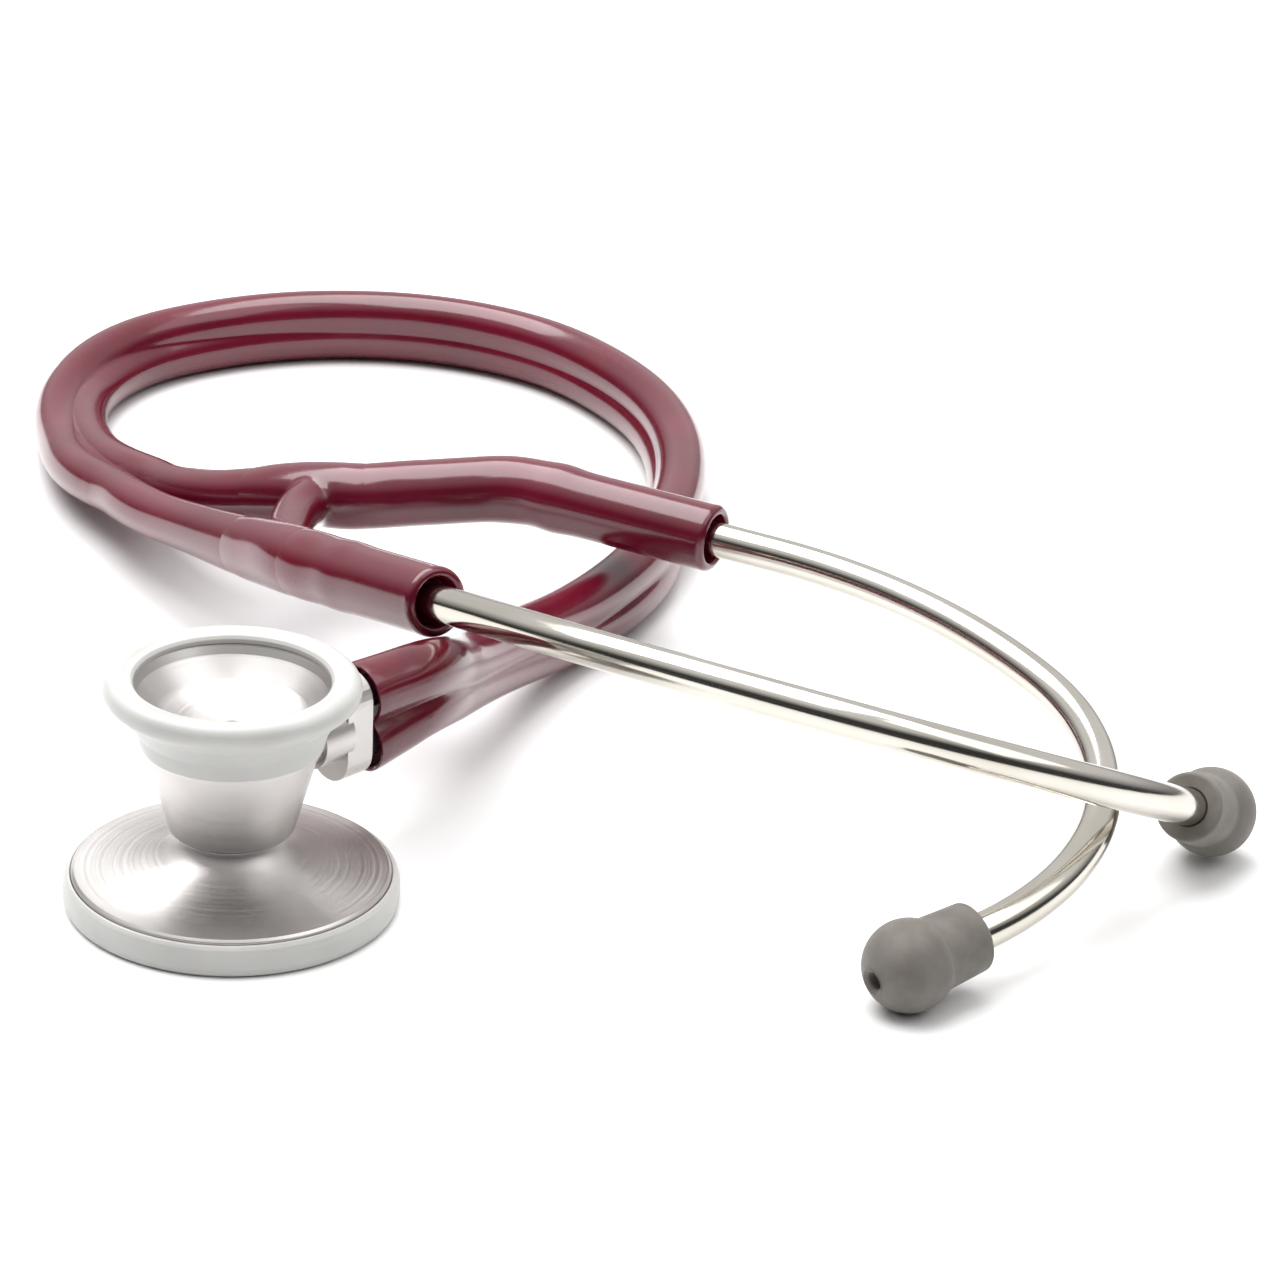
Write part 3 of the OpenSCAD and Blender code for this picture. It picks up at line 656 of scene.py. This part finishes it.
tipStart = pipePoints[-1] - pipe["held"] * np.array([cos(tipHeading), sin(tipHeading), 0])
tipPlace = Matrix.Translation(tipStart.tolist()) @ Matrix.Rotation(tipHeading, 4, "Z")
for side, values in (("front", frontArm), ("back", backArm)):
    held = (placed(values["turn"], values["end"]) @ Matrix.Translation((-values["push"], 0, 0))
            @ Matrix.Rotation(radians(values["pipeTurn"]), 4, "X"))
    finishPiece(makePipe("earPipe." + side, held), steel, side + "_earpiece", "steel", "ear_pipe_" + side)
    finishPiece(makeTip("earTip." + side, held @ tipPlace), silicone, side + "_earpiece", "silicone",
                "ear_tip_" + side)
print("headset bent and tipped")


# the chestpiece's pieces are turned about Z from outlines of (radius, height, rounding)
chest = dict(
    around=160,
    # from the sound bore out along the underside to the flange's top edge
    underside=[(1.5, 6, 0), (1.5, 3.8, 0.3), (3, 3.8, 0.3), (20.3, 1.4, 0.3), (22.1, 1.4, 0.15),
               (22.1, 3.6, 0.1), (22.8, 3.6, 0.1), (22.8, 5, 0.3), (22.4, 5.4, 0)],
    # the trumpet is a quarter of an ellipse about (edge, waist height)
    trumpetEdge=22.4, trumpetWide=15.6, waistAt=11.4, trumpetHigh=6, steps=24,
    # from the waist up the cone, over the bell's lip and down its cup to the bore
    bell=[(6.8, 11.4, 0), (8.6, 11.6, 0.15), (9, 12, 0.3), (12.6, 25, 0.5), (13.2, 28, 0.5),
          (14.6, 31, 0.5), (16.2, 32.6, 0.3), (16.2, 33.8, 0.2), (14.3, 33.8, 0.3), (13.4, 32.4, 1),
          (10.5, 29.4, 2.5), (6, 28, 2), (1.6, 27.62, 0.3), (1.5, 26, 0)],
    # radius, start and end of the holes for the stem and for the screw that meets it
    stemHole=(4.03, -8, 22), screwHole=(1.5, 3.5, 13), screwAt=6.8)
bellRing = dict(
    # flared skirt, round crest and an inner lip that hooks over the bell's rim
    skirt=[(12.75, 25.0, 0), (13.0, 25.0, 0.1), (13.7, 27.6, 2), (15.2, 30.2, 2), (17, 31.8, 0)],
    crestAt=(16.3, 33.5), crest=1.9, crestFrom=-50, crestTo=120, steps=30,
    hook=[(15.3, 35.15, 0), (14.3, 35, 0.4), (13.9, 34.5, 0.3), (13.9, 33.85, 0.1), (16.2, 33.85, 0),
          (16.25, 32.6, 0), (14.65, 31, 0), (13.25, 28, 0)])
rim = dict(
    # retaining ring with a rounded outer wall, stepped in under its top edge
    around=192,
    outline=[(20.6, 0.25, 0), (20.6, 0, 0.15), (23.1, 0, 0.3), (23.7, 0.4, 0.4), (24, 1.3, 0.6),
             (24, 3.4, 0.5), (23.75, 4.3, 0.5), (23.3, 4.8, 0.35), (23, 4.8, 0.1), (22.85, 4.4, 0),
             (22.85, 3.6, 0), (22.15, 3.6, 0), (22.15, 0.55, 0), (20.6, 0.5, 0)])
membrane = dict(
    # thin stiff sheet, stepped back at its edge where the rim grips it
    outline=[(0.05, 0, 0), (20, 0, 0.2), (20.5, 0.5, 0.2), (22, 0.5, 0), (22, 0.85, 0),
             (20.3, 0.85, 0.2), (19.8, 0.35, 0.2), (0.05, 0.35, 0)])


def makeBody():
    # underside, trumpet flange, waist, cone and the bell's cup, with a bore up the middle
    c = chest
    a = np.radians(np.linspace(0, 90, c["steps"] + 1))
    trumpet = np.stack([c["trumpetEdge"] - c["trumpetWide"] * np.sin(a),
                        c["waistAt"] - c["trumpetHigh"] * np.cos(a)], -1)
    outline = np.concatenate([bend(c["underside"])[:-1], trumpet[:-1], bend(c["bell"])])
    return turned("chestpieceBody", outline, around=c["around"], closed=True)


def makeBellRing():
    # skirt, crest and hook joined in one closed outline
    r = bellRing
    crest = arc(r["crestAt"], r["crest"], r["crestFrom"], r["crestTo"], r["steps"])
    outline = np.concatenate([bend(r["skirt"])[:-1], crest, bend(r["hook"])[1:]])
    return turned("bellRing", outline, around=chest["around"], closed=True)


def boredThrough(piece, place, radius, start, end):
    # a round hole along local Z from start to end, cut with a boolean that is applied at once
    cutter = turned("cutter", np.array([(radius, start), (radius, end)], float), around=64, place=place)
    cut = piece.modifiers.new("cut", "BOOLEAN")
    cut.object, cut.operation, cut.solver = cutter, "DIFFERENCE", "EXACT"
    applyModifiers(piece)
    piece.data.set_sharp_from_angle(angle=creaseAngle)
    bpy.data.objects.remove(cutter)


body = makeBody()
stemPlace = (Matrix.Translation((0, 0, stem["height"]))
             @ Matrix.Rotation(radians(stem["direction"]), 4, "Z") @ Matrix.Rotation(pi / 2, 4, "Y"))
screwPlace = stemPlace @ Matrix.Translation((0, 0, chest["screwAt"])) @ Matrix.Rotation(-pi / 2, 4, "X")
boredThrough(body, stemPlace, *chest["stemHole"])
boredThrough(body, screwPlace, *chest["screwHole"])
finishPiece(body, satin, "chestpiece", "steel", "chestpiece_body")
finishPiece(makeBellRing(), ringVinyl, "chestpiece", "ring", "bell_ring")
finishPiece(turned("rimRing", bend(rim["outline"]), around=rim["around"], closed=True), ringVinyl,
            "chestpiece", "ring", "rim_ring")
finishPiece(turned("diaphragmSheet", bend(membrane["outline"]), around=chest["around"]), glassFibre,
            "chestpiece", "membrane", "diaphragm")
print("chestpiece turned")

# the fittings keep their CAD shapes
for material, names in (
        (satin, ["valve_stem"]),
        (nickel, ["detent_ball", "detent_screw", "tip_insert_front", "tip_insert_back"]),
        (springSteel, ["detent_spring", "leaf_spring_bow", "leaf_spring_front", "leaf_spring_back"]),
        (rubber, ["stem_seals", "diaphragm_gasket"])):
    for name in names:
        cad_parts[name].data.materials.clear()
        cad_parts[name].data.materials.append(material)
print("fittings finished")


studio = dict(
    tableHalf=1.6, board="#F4F4F4", sky=0.85, dark=0.06, darkUntil=0.2, whiteFrom=0.6, lean=0.35,
    aim=(0.02, 0.1, 0),
    # name, place, size in metres and power in watts
    lights=[("softboxTop", (-0.2, 0.3, 1.0), 1.1, 19), ("softboxFill", (0.7, -0.1, 1.0), 0.9, 3)])


def makeStudio():
    # pale table and a sky that is white overhead and dark near the horizon, as a softbox in a dim room
    t = studio
    size = t["tableHalf"]
    mesh = bpy.data.meshes.new("table")
    mesh.from_pydata([(x * size, y * size, 0) for x, y in ((-1, -1), (1, -1), (1, 1), (-1, 1))], [],
                     [(0, 1, 2, 3)])
    table = bpy.data.objects.new("table", mesh)
    bpy.context.scene.collection.objects.link(table)
    board = newMaterial("whiteBoard", Base_Color=linear(t["board"]), Roughness=0.55, IOR=1.4)
    mesh.materials.append(board[0])

    world = bpy.data.worlds.new("studio")
    bpy.context.scene.world = world
    world.use_nodes = True
    tree = world.node_tree
    way = addNode(tree, "TexCoord").outputs["Generated"]
    # brightness follows z + lean y, so the dark room is in front and a pale sweep behind
    tilt = addNode(tree, "VectorMath", {"operation": "DOT_PRODUCT", 1: (0, t["lean"], 1)}, {0: way})
    ramp = addNode(tree, "ValToRGB", {}, {"Fac": tilt.outputs["Value"]})
    low, high = ramp.color_ramp.elements
    low.position, high.position = t["darkUntil"], t["whiteFrom"]
    low.color, high.color = (t["dark"], t["dark"], t["dark"], 1), (1, 1, 1, 1)
    back = tree.nodes["Background"]
    tree.links.new(ramp.outputs["Color"], back.inputs["Color"])
    back.inputs["Strength"].default_value = t["sky"]

    for name, at, size, power in t["lights"]:
        light = bpy.data.lights.new(name, "AREA")
        light.shape, light.size, light.energy = "SQUARE", size, power
        lamp = bpy.data.objects.new(name, light)
        turn = (Vector(t["aim"]) - Vector(at)).to_track_quat("-Z", "Y")
        lamp.matrix_world = Matrix.Translation(at) @ turn.to_matrix().to_4x4()
        bpy.context.scene.collection.objects.link(lamp)


makeStudio()
bpy.context.scene.view_settings.view_transform = "Standard"
print("studio lit")
